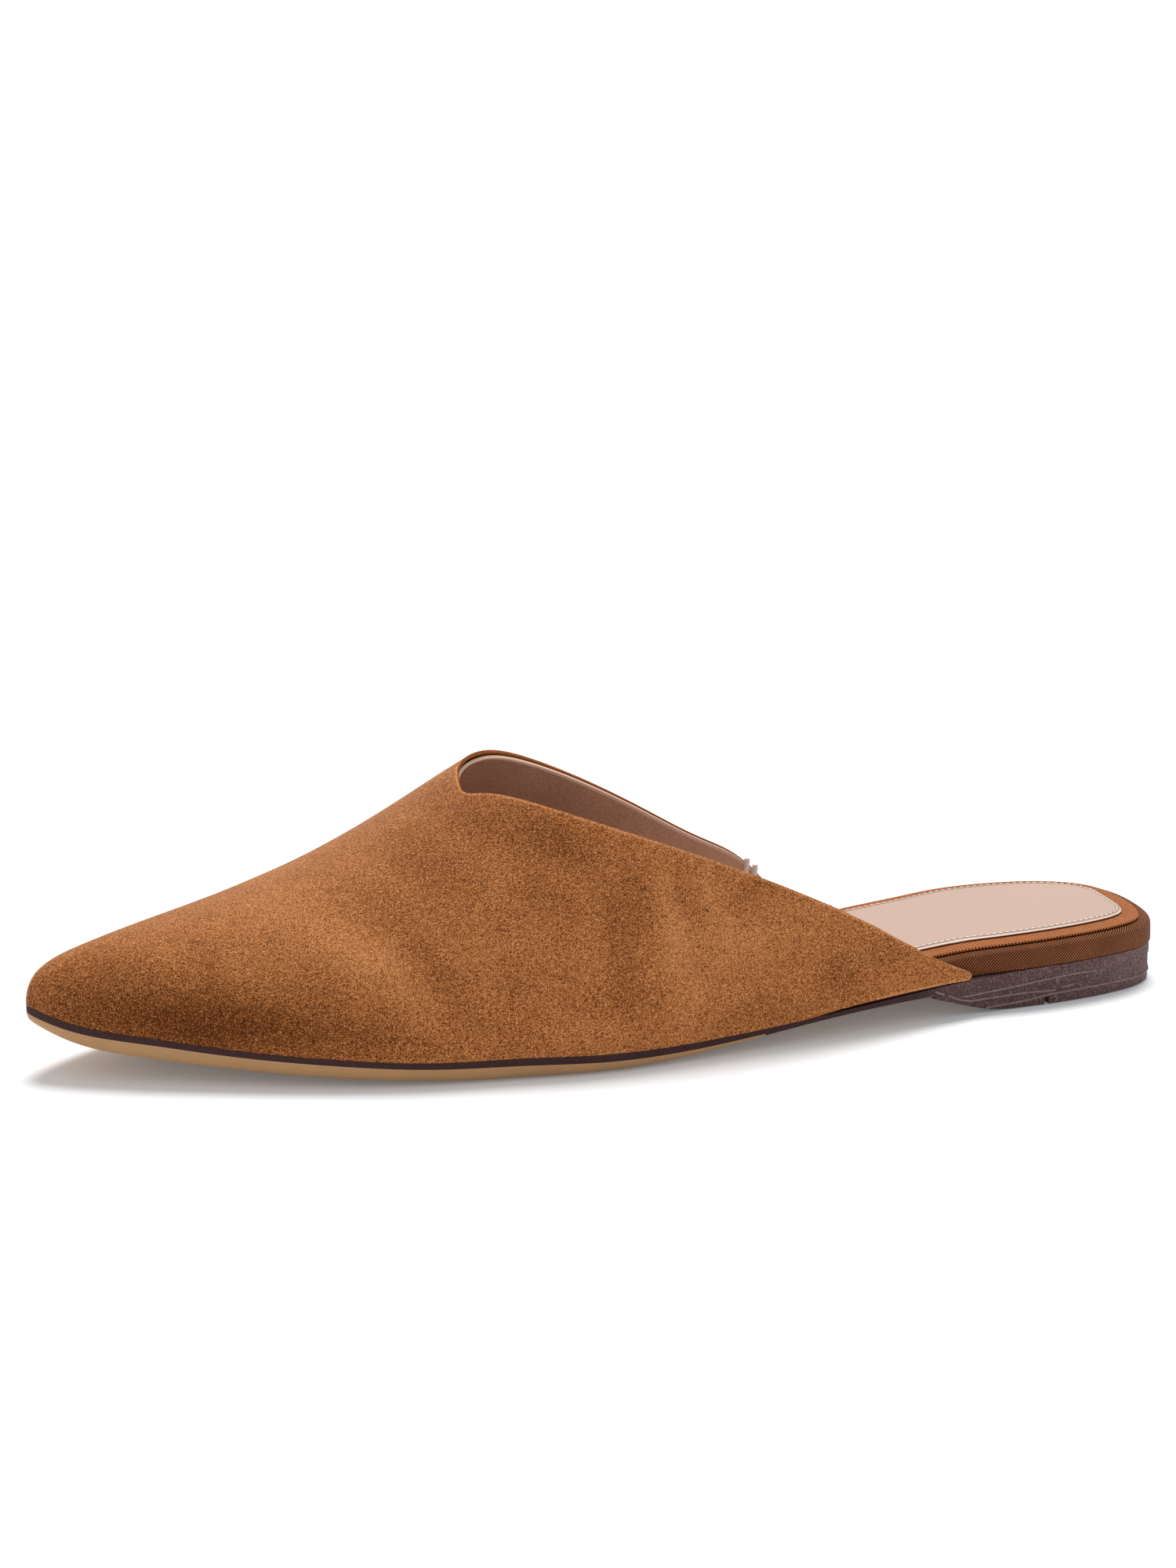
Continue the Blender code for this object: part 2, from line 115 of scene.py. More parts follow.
class Finish:
    """A material being put together round its Principled shader."""

    def __init__(self, name, constants):
        self.material = bpy.data.materials.new(name)
        self.material.use_nodes = True
        self.tree = self.material.node_tree
        self.surface = self.tree.nodes["Principled BSDF"]
        self.finish(constants)

    def node(self, kind, settings=None, inputs=None):
        """Adds a node: its settings come first, then the values or links of its inputs."""
        made = self.tree.nodes.new(kind)
        for name, value in (settings or {}).items():
            if name == "stops":
                self.set_stops(made.color_ramp, value)
            else:
                setattr(made, name, value)
        for name, value in (inputs or {}).items():
            self.feed(find_socket(made.inputs, name), value)
        return made

    def set_stops(self, ramp, stops):
        while len(ramp.elements) < len(stops):
            ramp.elements.new(1.0)
        for element, (position, colour) in zip(ramp.elements, stops):
            element.position = position
            element.color = (*colour, 1.0)

    def feed(self, socket, value):
        if isinstance(value, Value):
            self.tree.links.new(value.socket, socket)
        elif isinstance(value, bpy.types.NodeSocket):
            self.tree.links.new(value, socket)
        else:
            socket.default_value = value

    def math(self, operation, *terms):
        made = self.node("ShaderNodeMath", {"operation": operation}, dict(enumerate(terms)))
        return Value(self, made.outputs[0])

    def clamp(self, value):
        made = self.node("ShaderNodeClamp", None, {"Value": value})
        return Value(self, made.outputs[0])

    def step(self, value, low, high):
        """0 below low, 1 above high, easing between."""
        made = self.node("ShaderNodeMapRange", {"interpolation_type": "SMOOTHSTEP"},
                         {"Value": value, "From Min": low, "From Max": high})
        return Value(self, made.outputs[0])

    def place(self, scale=(1, 1, 1), turn=(0, 0, 0)):
        """Object coordinates in millimetres, turned and stretched."""
        coordinate = self.node("ShaderNodeTexCoord")
        made = self.node("ShaderNodeMapping", None, {
            "Vector": coordinate.outputs["Object"],
            "Rotation": tuple(math.radians(angle) for angle in turn),
            "Scale": tuple(part / MM for part in scale)})
        return made.outputs[0]

    def noise(self, vector, size, detail=2.0, roughness=0.5, distortion=0.0):
        """Noise from 0 to 1 with features of a size in millimetres."""
        made = self.node("ShaderNodeTexNoise", None, {
            "Vector": vector, "Scale": 1 / size, "Detail": detail,
            "Roughness": roughness, "Distortion": distortion})
        return Value(self, made.outputs[0])

    def painted(self, name):
        """A number stored on the mesh."""
        made = self.node("ShaderNodeAttribute", {"attribute_name": name})
        return Value(self, made.outputs["Fac"])

    def wrapped(self):
        """The two directions of the piece's own map: round the edge, and in from it (millimetres)."""
        made = self.node("ShaderNodeUVMap", {"uv_map": WRAP})
        split = self.node("ShaderNodeSeparateXYZ", None, {"Vector": made.outputs[0]})
        return Value(self, split.outputs[0]), Value(self, split.outputs[1])

    def blend(self, factor, first, second):
        """A colour between two colours."""
        made = self.node("ShaderNodeMix", {"data_type": "RGBA"}, {
            "Factor_Float": factor, "A_Color": as_colour(first), "B_Color": as_colour(second)})
        return find_socket(made.outputs, "Result_Color")

    def bump(self, height, distance, normal=None):
        """Relief of a height from 0 to 1, a distance in millimetres deep."""
        inputs = {"Height": height, "Distance": distance * MM}
        if normal is not None:
            inputs["Normal"] = normal
        return self.node("ShaderNodeBump", None, inputs).outputs[0]

    def finish(self, inputs):
        """Feeds the Principled shader's sockets and returns the material."""
        for name, value in inputs.items():
            self.feed(self.surface.inputs[name], value)
        return self.material


def find_socket(sockets, key):
    if isinstance(key, str):
        for socket in sockets:
            if socket.identifier == key:
                return socket
    return sockets[key]


def as_colour(value):
    return value if isinstance(value, bpy.types.NodeSocket) else (*value[:3], 1.0)


# ---- meshes ---------------------------------------------------------------------------------------
WRAP = "wrap"


def cad_mesh(node):
    """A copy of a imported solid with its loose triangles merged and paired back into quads."""
    mesh = bmesh.new()
    mesh.from_mesh(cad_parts[node].data)
    bmesh.ops.remove_doubles(mesh, verts=mesh.verts, dist=MERGE)
    bmesh.ops.join_triangles(mesh, faces=mesh.faces, angle_face_threshold=math.radians(40),
                             angle_shape_threshold=math.pi, topology_influence=1.0)
    return mesh


def sheets(mesh, bend):
    """The mesh's faces as smooth sheets, largest first, parted at edges that bend by more than bend."""
    left = set(mesh.faces)
    found = []
    while left:
        front = [left.pop()]
        sheet = list(front)
        while front:
            face = front.pop()
            for edge in face.edges:
                if len(edge.link_faces) != 2 or edge.calc_face_angle() > bend:
                    continue
                for other in edge.link_faces:
                    if other in left:
                        left.remove(other)
                        front.append(other)
                        sheet.append(other)
        found.append(sheet)
    return sorted(found, key=lambda sheet: -sum(face.calc_area() for face in sheet))


def keep_only(mesh, faces):
    kept = set(faces)
    bmesh.ops.delete(mesh, geom=[face for face in mesh.faces if face not in kept], context="FACES")


def crease(mesh, bend):
    """Marks edges that bend by more than bend to stay sharp when the mesh is subdivided."""
    layer = mesh.edges.layers.float.get("crease_edge") or mesh.edges.layers.float.new("crease_edge")
    for edge in mesh.edges:
        if len(edge.link_faces) == 2 and edge.calc_face_angle() > bend:
            edge[layer] = 1.0


def subdivided(mesh, levels):
    """The mesh after Catmull-Clark subdivision, as a new bmesh; the old one is freed."""
    data = bpy.data.meshes.new("coarse")
    mesh.to_mesh(data)
    mesh.free()
    coarse = bpy.data.objects.new("coarse", data)
    bpy.context.scene.collection.objects.link(coarse)
    smooth = coarse.modifiers.new("smooth", "SUBSURF")
    smooth.levels = smooth.render_levels = levels
    smooth.use_limit_surface = False
    graph = bpy.context.evaluated_depsgraph_get()
    fine = bmesh.new()
    fine.from_object(coarse, graph)
    bpy.data.objects.remove(coarse, do_unlink=True)
    bpy.data.meshes.remove(data)
    return fine


def add_piece(name, mesh, materials, stands_for=(), bend=35):
    """Makes the finished object of a piece, which rides on the shoe."""
    data = bpy.data.meshes.new(name)
    mesh.to_mesh(data)
    mesh.free()
    return add_object(name, data, materials, stands_for, bend)


def add_object(name, data, materials, stands_for=(), bend=35):
    data.name = name
    data.shade_smooth()
    data.set_sharp_from_angle(angle=math.radians(bend))
    piece = bpy.data.objects.new(name, data)
    bpy.context.scene.collection.objects.link(piece)
    for material in materials:
        data.materials.append(material)
    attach(piece, BODY)
    if stands_for:
        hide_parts(*stands_for)
    return piece


def store(piece, name, values):
    """Stores one number for each vertex of a piece, for its material to read."""
    layer = piece.data.attributes.new(name, "FLOAT", "POINT")
    layer.data.foreach_set("value", np.asarray(values, np.float32))


def points_of(data):
    co = np.zeros(len(data.vertices) * 3, np.float32)
    data.vertices.foreach_get("co", co)
    return co.reshape(-1, 3).astype(float)


def normals_of(data):
    normal = np.zeros(len(data.vertices) * 3, np.float32)
    data.vertex_normals.foreach_get("vector", normal)
    return normal.reshape(-1, 3).astype(float)


def distances(points, targets):
    """How far each point is from the nearest target."""
    tree = KDTree(len(targets))
    for i, target in enumerate(targets):
        tree.insert(target, i)
    tree.balance()
    return np.array([tree.find(point)[2] for point in points])


def thin_to_wall(piece, wall, full):
    """Vertex weights that share out the upper's wall, which is skived thin at the wings' tips."""
    group = piece.vertex_groups.new(name="wall")
    for i, value in enumerate(wall):
        group.add([i], float(min(value / full, 1.0)), "REPLACE")


def add_wall(piece, thickness, bevel, turned=0):
    """Gives an open sheet its thickness, inwards, and rounds the rim; turned: the rim's material."""
    wall = piece.modifiers.new("wall", "SOLIDIFY")
    wall.thickness = thickness
    wall.material_offset = wall.material_offset_rim = turned
    wall.offset = -1
    wall.use_quality_normals = True
    wall.vertex_group = "wall"
    rim = piece.modifiers.new("rim", "BEVEL")
    rim.width = bevel
    rim.segments = 3
    rim.limit_method = "ANGLE"
    rim.angle_limit = math.radians(50)


def outline(mesh, facing):
    """Points in order round the mesh's under side (facing -1) or its top (facing 1), from the toe."""
    links = {}
    for edge in mesh.edges:
        if sum(face.normal.z * facing > 0.8 for face in edge.link_faces) == 1:
            one, two = edge.verts
            links.setdefault(one, []).append(two)
            links.setdefault(two, []).append(one)
    run = [min(links, key=lambda vert: (vert.co.x, vert.co.y))]
    while True:
        ahead = [vert for vert in links[run[-1]] if vert not in run]
        if not ahead:
            break
        run.append(ahead[0])
    points = np.array([vert.co for vert in run])
    return points if turning(points) > 0 else np.roll(points[::-1], 1, axis=0)


def turning(loop):
    """Positive for a loop that runs counterclockwise seen from above."""
    ahead = np.roll(loop, -1, axis=0)
    return np.sum(loop[:, 0] * ahead[:, 1] - ahead[:, 0] * loop[:, 1])


def along_loop(points, loop):
    """For each point, how far round the loop its nearest place is, how far off, and that place's z."""
    span = np.roll(loop, -1, axis=0) - loop
    flat = span[:, :2]
    size = np.maximum((flat ** 2).sum(axis=1), 1e-14)
    run = np.concatenate([[0], np.cumsum(np.linalg.norm(flat, axis=1))])
    best = np.full(len(points), 1e9)
    place = np.zeros(len(points))
    height = np.zeros(len(points))
    for i in range(len(loop)):
        share = np.clip(((points[:, :2] - loop[i, :2]) @ flat[i]) / size[i], 0, 1)
        off = np.linalg.norm(points[:, :2] - loop[i, :2] - share[:, None] * flat[i], axis=1)
        near = off < best
        best[near] = off[near]
        place[near] = run[i] + share[near] * (run[i + 1] - run[i])
        height[near] = loop[i, 2] + share[near] * span[i, 2]
    return place, best, height, run[-1]


def wrap(data, loop):
    """Maps a piece in millimetres: u runs round its edge loop, v up its wall and on in over its top."""
    points = points_of(data)
    place, off, height, total = along_loop(points, loop)
    u, v = place / MM, (np.abs(points[:, 2] - height) + off) / MM
    layer = data.uv_layers.new(name=WRAP)
    for polygon in data.polygons:
        around = [u[data.loops[i].vertex_index] for i in polygon.loop_indices]
        crosses = max(around) - min(around) > total / MM / 2
        for i, value in zip(polygon.loop_indices, around):
            turn = total / MM if crosses and value < total / MM / 2 else 0
            layer.data[i].uv = (value + turn, v[data.loops[i].vertex_index])


def tube(name, runs, radius, material, sides=3):
    """Round threads or ridges of one radius along several runs of points, as one mesh."""
    curve = bpy.data.curves.new(name, "CURVE")
    curve.dimensions = "3D"
    curve.bevel_depth = radius
    curve.bevel_resolution = sides
    curve.use_fill_caps = True
    for run in runs:
        spline = curve.splines.new("POLY")
        spline.points.add(len(run) - 1)
        for point, place in zip(spline.points, run):
            point.co = (*place, 1)
    holder = bpy.data.objects.new(name, curve)
    bpy.context.scene.collection.objects.link(holder)
    graph = bpy.context.evaluated_depsgraph_get()
    data = bpy.data.meshes.new_from_object(holder.evaluated_get(graph))
    bpy.data.objects.remove(holder, do_unlink=True)
    bpy.data.curves.remove(curve)
    return add_object(name, data, [material])


def resampled(loop, pitch):
    """Points a steady pitch apart round a closed loop, with the direction at each."""
    run = np.vstack([loop, loop[:1]])
    size = np.linalg.norm(np.diff(run, axis=0), axis=1)
    at = np.concatenate([[0], np.cumsum(size)])
    count = max(2, round(at[-1] / pitch))
    where = np.linspace(0, at[-1], count, endpoint=False)
    made = np.stack([np.interp(where, at, run[:, axis]) for axis in range(3)], axis=1)
    ahead = np.roll(made, -1, axis=0) - np.roll(made, 1, axis=0)
    return made, ahead / np.linalg.norm(ahead, axis=1)[:, None]


def inset_loop(loop, inset):
    """A closed loop moved in square to itself, seen from above."""
    ahead = np.roll(loop, -1, axis=0) - np.roll(loop, 1, axis=0)
    side = np.stack([-ahead[:, 1], ahead[:, 0], np.zeros(len(loop))], axis=1)
    side /= np.linalg.norm(side, axis=1)[:, None]
    return loop + side * inset


# ---- settings -------------------------------------------------------------------------------------
def length(name, description, default):
    return bpy.props.FloatProperty(name=name, description=description, default=default * MM,
                                   unit="LENGTH", precision=5)


def colour(name, description, default):
    return bpy.props.FloatVectorProperty(name=name, description=description, default=default,
                                         size=3, subtype="COLOR", min=0, max=1)


def number(name, description, default):
    return bpy.props.FloatProperty(name=name, description=description, default=default)


def angle(name, description, default):
    return bpy.props.FloatProperty(name=name, description=description,
                                   default=math.radians(default), subtype="ANGLE")


class UpperSettings(bpy.types.PropertyGroup):
    # The ramp's ends are reached through the nap's grain and through the strokes' painted light and
    # shade.
    light: colour("Light nap", "Suede brushed towards the light", rgb(224, 152, 96))
    middle: colour("Nap", "Suede lying as it falls", rgb(172, 105, 56))
    dark: colour("Dark nap", "Suede brushed away from the light", rgb(115, 62, 24))
    deep: colour("Deep nap", "Between the tufts", rgb(70, 34, 10))
    lining_light: colour("Lining", "Lining leather", rgb(196, 150, 124))
    # The darker lining colour serves the grain and also the painted shade towards the throat.
    lining_dark: colour("Lining grain", "In the lining's grain", rgb(144, 99, 77))
    # painted highlight: the folded edge is given a paler copy of the lining's colour
    lining_edge_highlight: colour("Lining edge", "Folded edge of the lining", rgb(220, 184, 162))
    suede: length("Suede", "Thickness of the suede", 0.8)
    lining: length("Lining", "Thickness of the lining", 0.75)
    drop: length("Lining drop", "How far the lining's edge lies below the suede's, at the throat", 0.5)
    round: length("Edge rounding", "Rounding of the turned suede edge", 0.4)
    thread: colour("Bar tack", "Thread of the bar tacks", rgb(244, 234, 224))
    grain: number("Grain", "Size of the nap's grain in millimetres", 0.5)


class FootbedSettings(bpy.types.PropertyGroup):
    # The ribbon is one colour: its rib tops are painted lit and its valleys painted shaded.
    ribbon_lit_rib: colour("Ribbon", "Top of a rib", rgb(212, 128, 70))
    ribbon_valley_shade: colour("Ribbon valley", "Between two ribs", rgb(58, 25, 11))
    leather: colour("Sock leather", "Smooth side of the sock", rgb(205, 174, 156))
    cut_edge: colour("Cut edge", "Burnished top edge of the sock", rgb(236, 216, 200))
    # painted shade: this colour darkens the stitch channel and the low part of the sock's side
    painted_sock_shade: colour("Groove", "Pressed channel under the stitches, and the sock's side", rgb(150, 112, 92))
    thread: colour("Thread", "Lockstitch round the sock", rgb(255, 250, 242))
    rib: number("Rib pitch", "From rib to rib in millimetres", 0.8)
    stitch: length("Stitch", "From stitch to stitch", 1.6)
    stitch_inset: length("Stitch inset", "Stitching in from the sock's edge", 1.1)


class SoleSettings(bpy.types.PropertyGroup):
    paint: colour("Edge paint", "Painted edge of the sole", rgb(58, 35, 34))
    paint_speck: colour("Speck", "Lighter specks in the paint", rgb(78, 56, 56))
    stack: colour("Stacked heel", "Painted edge of the heel's layers", rgb(78, 54, 53))
    stack_speck: colour("Heel speck", "Lighter specks on the heel", rgb(138, 113, 111))
    # The paler colour along the ridges between the heel's layers.
    stack_ridge: colour("Worn ridge", "Ridges between the heel's layers", rgb(170, 147, 144))
    natural: colour("Underside", "Natural leather under the sole", rgb(192, 146, 99))
    ridge: length("Layer ridge", "Radius of the ridges between the heel's layers", 0.24)


class StageSettings(bpy.types.PropertyGroup):
    azimuth: angle("Azimuth", "Camera round the shoe, 0 from its outer side", -19.70)
    elevation: angle("Elevation", "Camera above the floor", 16.45)
    distance: length("Distance", "Camera from the aim point", 1250)
    lens: number("Lens", "Focal length in millimetres on a 36 mm frame", 129.06)
    floor: colour("Floor", "White floor", (0.96, 0.96, 0.97))


# ---- finishes -------------------------------------------------------------------------------------
def suede_finish(settings):
    """Short brushed nap: wormy grain, soft brushed patches mixed with painted light and shade from the
    strokes, paler where it turns over the edge.
    """
    made = Finish("suede", {"Roughness": 0.95, "Sheen Weight": 0.32, "Sheen Roughness": 0.45,
                            "Sheen Tint": (1.0, 0.76, 0.55, 1.0), "Specular IOR Level": 0.1})
    grain = made.noise(made.place(scale=(0.75, 0.9, 1.1)), settings.grain, 2.0, 0.65, 0.5)
    fibre = made.noise(made.place(), 0.25, 2.0, 0.6)
    patch = made.noise(made.place(scale=(0.7, 1, 1.2)), 22, 2.0, 0.4, 0.6)
    small = made.noise(made.place(scale=(0.7, 1, 1)), 7, 2.0, 0.4, 0.4)
    edge = 1 - made.step(made.painted("edge"), 0.2, 0.9)
    # painted light and shade: the attribute stored on the mesh lightens the top and darkens the low toe
    # among the nap's patches
    tone = (0.6 + made.painted("brush") * 0.5 + (patch - 0.5) * 0.2 + (small - 0.5) * 0.14
            + (grain - 0.5) * 0.95 + (fibre - 0.5) * 2.6 + edge * 0.25)
    ramp = made.node("ShaderNodeValToRGB", {"stops": [
        (0.0, settings.deep), (0.3, settings.dark), (0.6, settings.middle), (1.0, settings.light)]},
        {"Fac": made.clamp(tone)})
    relief = made.bump(grain, 0.14, made.bump(fibre, 0.08))
    return made.finish({"Base Color": ramp.outputs[0], "Normal": relief})


def turned_finish(settings):
    """The suede's turned edge and back, lying in shade."""
    made = Finish("suede_turned", {"Roughness": 0.95, "Specular IOR Level": 0.05})
    grain = made.noise(made.place(), 0.6, 2.0, 0.6, 1.0)
    return made.finish({"Base Color": made.blend(grain, settings.dark, settings.middle),
                        "Normal": made.bump(grain, 0.15)})


def lining_finish(settings):
    """Smooth grained lining leather with painted light: paler towards the wings, away from the shade deep
    in the throat, and palest along its folded edge, a painted highlight.
    """
    made = Finish("lining_leather", {"Roughness": 0.5, "Specular IOR Level": 0.35})
    grain = made.noise(made.place(), 0.55, 3.0, 0.65)
    cloud = made.noise(made.place(), 12, 2.0, 0.5)
    split = made.node("ShaderNodeSeparateXYZ", None, {"Vector": made.place()})
    # painted light: the lining is painted paler from the throat back to the wings' ends, standing in for
    # the shade deep in the throat
    painted_wing_light = made.step(Value(made, split.outputs[0]), *between(135, 85))
    face = made.blend(made.clamp(cloud * 0.6 + (grain - 0.5) * 1.5 + painted_wing_light * 0.6 + 0.15),
                      settings.lining_dark, settings.lining_light)
    # painted highlight along the lining's folded edge
    edge = 1 - made.step(made.painted("edge"), 0.5, 0.8)
    return made.finish({"Base Color": made.blend(edge, face, settings.lining_edge_highlight),
                        "Normal": made.bump(grain, 0.08)})


def ribbon_finish(name, settings, lean, pale):
    """Ribbed ribbon: fine ribs that lean across the edge, with a soft sheen, painted shade in the valleys
    between the ribs and painted light on their tops; pale is more painted light, high on the footbed's
    step and low on the board's side.
    """
    made = Finish(name, {"Roughness": 0.6, "Specular IOR Level": 0.15})
    around, inward = made.wrapped()
    turn = (around + inward * lean) * (2 * math.pi / settings.rib)
    rib = made.math("COSINE", turn) * 0.5 + 0.5
    uneven = made.noise(made.place(), 0.9, 2.0, 0.6)
    cloud = made.noise(made.place(), 7, 2.0, 0.5)
    # painted shade in the rib valleys and painted light on the rib tops, raised by pale
    shade = made.clamp((rib - 0.5) * 1.2 + (uneven - 0.5) * 0.4 + (cloud - 0.5) * 0.3 + pale)
    return made.finish({
        "Base Color": made.blend(shade, settings.ribbon_valley_shade, settings.ribbon_lit_rib),
        "Normal": made.bump(rib, 0.16, made.bump(uneven, 0.03))})


def sock_finish(settings):
    """Smooth nude leather with a pressed stitch channel, painted shade in the channel and low on its
    side, and a paler cut edge.
    """
    made = Finish("sock_leather", {"Roughness": 0.42, "Specular IOR Level": 0.4})
    _, inward = made.wrapped()
    grain = made.noise(made.place(), 0.5, 3.0, 0.6)
    cloud = made.noise(made.place(scale=(0.6, 1, 1)), 20, 2.0, 0.5)
    face = made.blend(made.clamp(cloud * 0.7 + 0.15), tuple(part * 0.93 for part in settings.leather),
                      settings.leather)
    # painted shade: the low part of the side, under the edge, and the stitch channel take the shade
    # colour
    side = 1 - made.step(inward, 0.1, 0.3)
    edge = made.step(inward, 0.25, 0.4) - made.step(inward, 0.6, 0.8)
    channel = made.step(inward, 1.0, 1.3) - made.step(inward, 1.75, 2.05)
    painted_sock_shade = made.blend(channel * 0.75, face, settings.painted_sock_shade)
    pale = made.blend(made.clamp(edge), painted_sock_shade, settings.cut_edge)
    return made.finish({
        "Base Color": made.blend(side, pale, settings.painted_sock_shade),
        "Normal": made.bump(1 - channel, 0.15, made.bump(grain, 0.02))})


def paint_finish(settings):
    """Painted leather edge: near black round the sole, greyer and speckled on the stacked heel, with
    painted shade towards the heel's front.
    """
    made = Finish("edge_paint", {"Specular IOR Level": 0.15})
    speck = made.noise(made.place(), 0.42, 3.0, 0.7)
    cloud = made.noise(made.place(scale=(0.5, 0.5, 1.6)), 5, 2.0, 0.5)
    split = made.node("ShaderNodeSeparateXYZ", None, {"Vector": made.place()})
    along = Value(made, split.outputs[0])
    heel = made.step(along, *between(68, 58))
    # painted shade: the heel is painted darker towards its front, under the waist, and lighter towards
    # its back
    back = made.step(along, *between(60, 5))
    shade = made.clamp(made.step(speck, 0.42, 0.7) * 0.9 + (cloud - 0.5) * 0.5 + back * 0.3 - 0.17)
    grey = made.blend(shade, settings.stack, settings.stack_speck)
    dark = made.blend(shade, settings.paint, settings.paint_speck)
    return made.finish({
        "Base Color": made.blend(heel, dark, grey),
        "Roughness": 0.5 + speck * 0.25,
        "Normal": made.bump(speck, 0.07)})


def ridge_finish(settings):
    """Paler paint on the ridges between the heel's layers."""
    made = Finish("layer_ridge", {"Roughness": 0.6, "Specular IOR Level": 0.15})
    speck = made.noise(made.place(), 0.8, 3.0, 0.7)
    return made.finish({"Base Color": made.blend(speck, settings.stack, settings.stack_ridge)})


def natural_finish(settings):
    """Natural sole leather, waxed, with faint fibre."""
    made = Finish("natural_leather", {"Roughness": 0.5, "Specular IOR Level": 0.35})
    fibre = made.noise(made.place(scale=(0.35, 1, 1)), 0.8, 3.0, 0.6)
    cloud = made.noise(made.place(), 16, 3.0, 0.5)
    shade = made.clamp(cloud * 0.9 + (fibre - 0.5) * 0.35)
    return made.finish({
        "Base Color": made.blend(shade, tuple(part * 0.72 for part in settings.natural),
                                 settings.natural),
        "Normal": made.bump(fibre, 0.03)})


def thread_finish(settings):
    """Waxed thread."""
    made = Finish("thread", {"Roughness": 0.6, "Sheen Weight": 0.2})
    twist = made.noise(made.place(), 0.3, 2.0, 0.5)
    return made.finish({"Base Color": made.blend(twist, tuple(part * 0.8 for part in settings.thread),
                                                 settings.thread)})


# ---- the upper's creases, brushing, and painted light and shade -----------------------------------
# station and height of a stroke's middle, and its length and width, in millimetres; turn: degrees
# that its length leans up towards the toe; lift: ridge (+) or trough (-) in millimetres; shade: nap
# brushed lighter (+) or darker (-), mixed with painted light and shade, such as the painted shade
# low on the toe where little light reaches under its overhang.
Stroke = namedtuple("Stroke", "station height length width turn lift shade")
OUTER_STROKES = [
    # The first stroke is painted shade low on the toe; the others mix the nap's brushing with painted
    # light and shade.
    Stroke(230, 14.0, 66, 13,   3, -0.1, -0.80),
    Stroke(228, 11.0, 14,  6,   0,  0.0, -0.15),
    Stroke(247, 25.0, 28, 10,  -8,  0.0, -0.20),
    Stroke(226, 25.0, 12,  8,  80,  0.0, -0.25),
    Stroke(205, 21.0, 24, 10,  25, -0.2, -0.05),
    Stroke(190, 25.5, 34,  9,  28,  0.3,  0.30),
    Stroke(189, 37.5, 20,  9,  15,  0.0, -0.25),
    Stroke(177, 43.5, 22, 12,  20, -0.2, -0.40),
    Stroke(159, 51.5, 32, 11,   5,  0.0, -0.50),
    Stroke(158, 40.5, 10,  9,  80,  0.0, -0.25),
    Stroke(149, 37.0, 10,  8,  80,  0.0, -0.20),
    Stroke(147, 46.0, 14,  8,   0,  0.0, -0.30),
    Stroke(179, 22.0, 20,  9,  50, -0.1, -0.45),
    Stroke(163, 18.0, 18,  9,  80, -0.1, -0.15),
    Stroke(190, 10.0, 28,  7,   0,  0.0, -0.20),
    Stroke(147, 10.5, 22,  7,   0,  0.1,  0.15),
    Stroke(141, 27.0, 32,  7,  84, -0.2, -0.30),
    Stroke(146, 35.0, 18,  8,  75,  0.1,  0.20),
    Stroke(135, 38.0, 20,  7,  80, -0.1, -0.30),
    Stroke(127, 29.0, 32,  7,  86,  0.2,  0.25),
    Stroke(124, 36.0, 14,  5,  80,  0.0, -0.25),
    Stroke(118, 38.0, 14,  5,  80,  0.1,  0.15),
    Stroke(138, 50.0, 14,  5, -15,  0.0,  0.15),
    Stroke(163, 40.0, 14,  9,  80,  0.1,  0.10),
    Stroke(108, 27.0, 30, 12, -14,  0.2,  0.20),
    Stroke(105, 38.0, 16,  9, -20,  0.0, -0.15),
    Stroke(102,  9.0, 30,  8,   5,  0.0, -0.20),
    Stroke( 86, 14.0, 14,  9,  60,  0.0, -0.40),
    Stroke( 78, 18.0, 10,  8,  30,  0.0, -0.20),
    Stroke( 68, 20.0, 20,  8, -20,  0.0, -0.10),
]
INNER_STROKES = [
    Stroke(228, 13.0, 50, 12,   3, -0.1, -0.35),
    Stroke(190, 25.0, 34,  9,  28,  0.3,  0.25),
    Stroke(165, 20.0, 24, 11,  80, -0.1, -0.25),
    Stroke(148, 30.0, 30, 10,  84, -0.2, -0.20),
    Stroke(127, 28.0, 30,  8,  84,  0.2,  0.20),
    Stroke(108, 26.0, 28, 11, -14,  0.2,  0.20),
    Stroke( 84, 26.0, 18,  7, -30,  0.0, -0.20),
]


def stroke_sum(strokes, points, facing, what):
    """The strokes' soft humps added up at each point, where the surface faces their side."""
    station = (HEEL_BACK - points[:, 0]) / MM
    height = points[:, 2] / MM
    total = np.zeros(len(points))
    for stroke in strokes:
        turn = math.radians(stroke.turn)
        along = (station - stroke.station) * math.cos(turn) + (height - stroke.height) * math.sin(turn)
        across = (height - stroke.height) * math.cos(turn) - (station - stroke.station) * math.sin(turn)
        hump = np.exp(-(along / stroke.length * 2) ** 2 - (across / stroke.width * 2) ** 2)
        total += getattr(stroke, what) * hump * facing
    return total


def both_sides(points, normals, what):
    """The strokes of each side where the surface faces it."""
    outer = np.clip(0.5 - 1.5 * normals[:, 1], 0, 1)
    return (stroke_sum(OUTER_STROKES, points, outer, what)
            + stroke_sum(INNER_STROKES, points, 1 - outer, what))


# ---- operators ------------------------------------------------------------------------------------
def upper_sheets():
    """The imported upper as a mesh, its outside sheet and its inside sheet."""
    mesh = cad_mesh("upper")
    outside, inside = sheets(mesh, math.radians(50))[:2]
    return mesh, outside, inside


def top_edge(mesh):
    """Points along an upper sheet's open edge, without its foot."""
    return [vert.co.copy() for vert in mesh.verts if vert.is_boundary and is_topline(vert)]


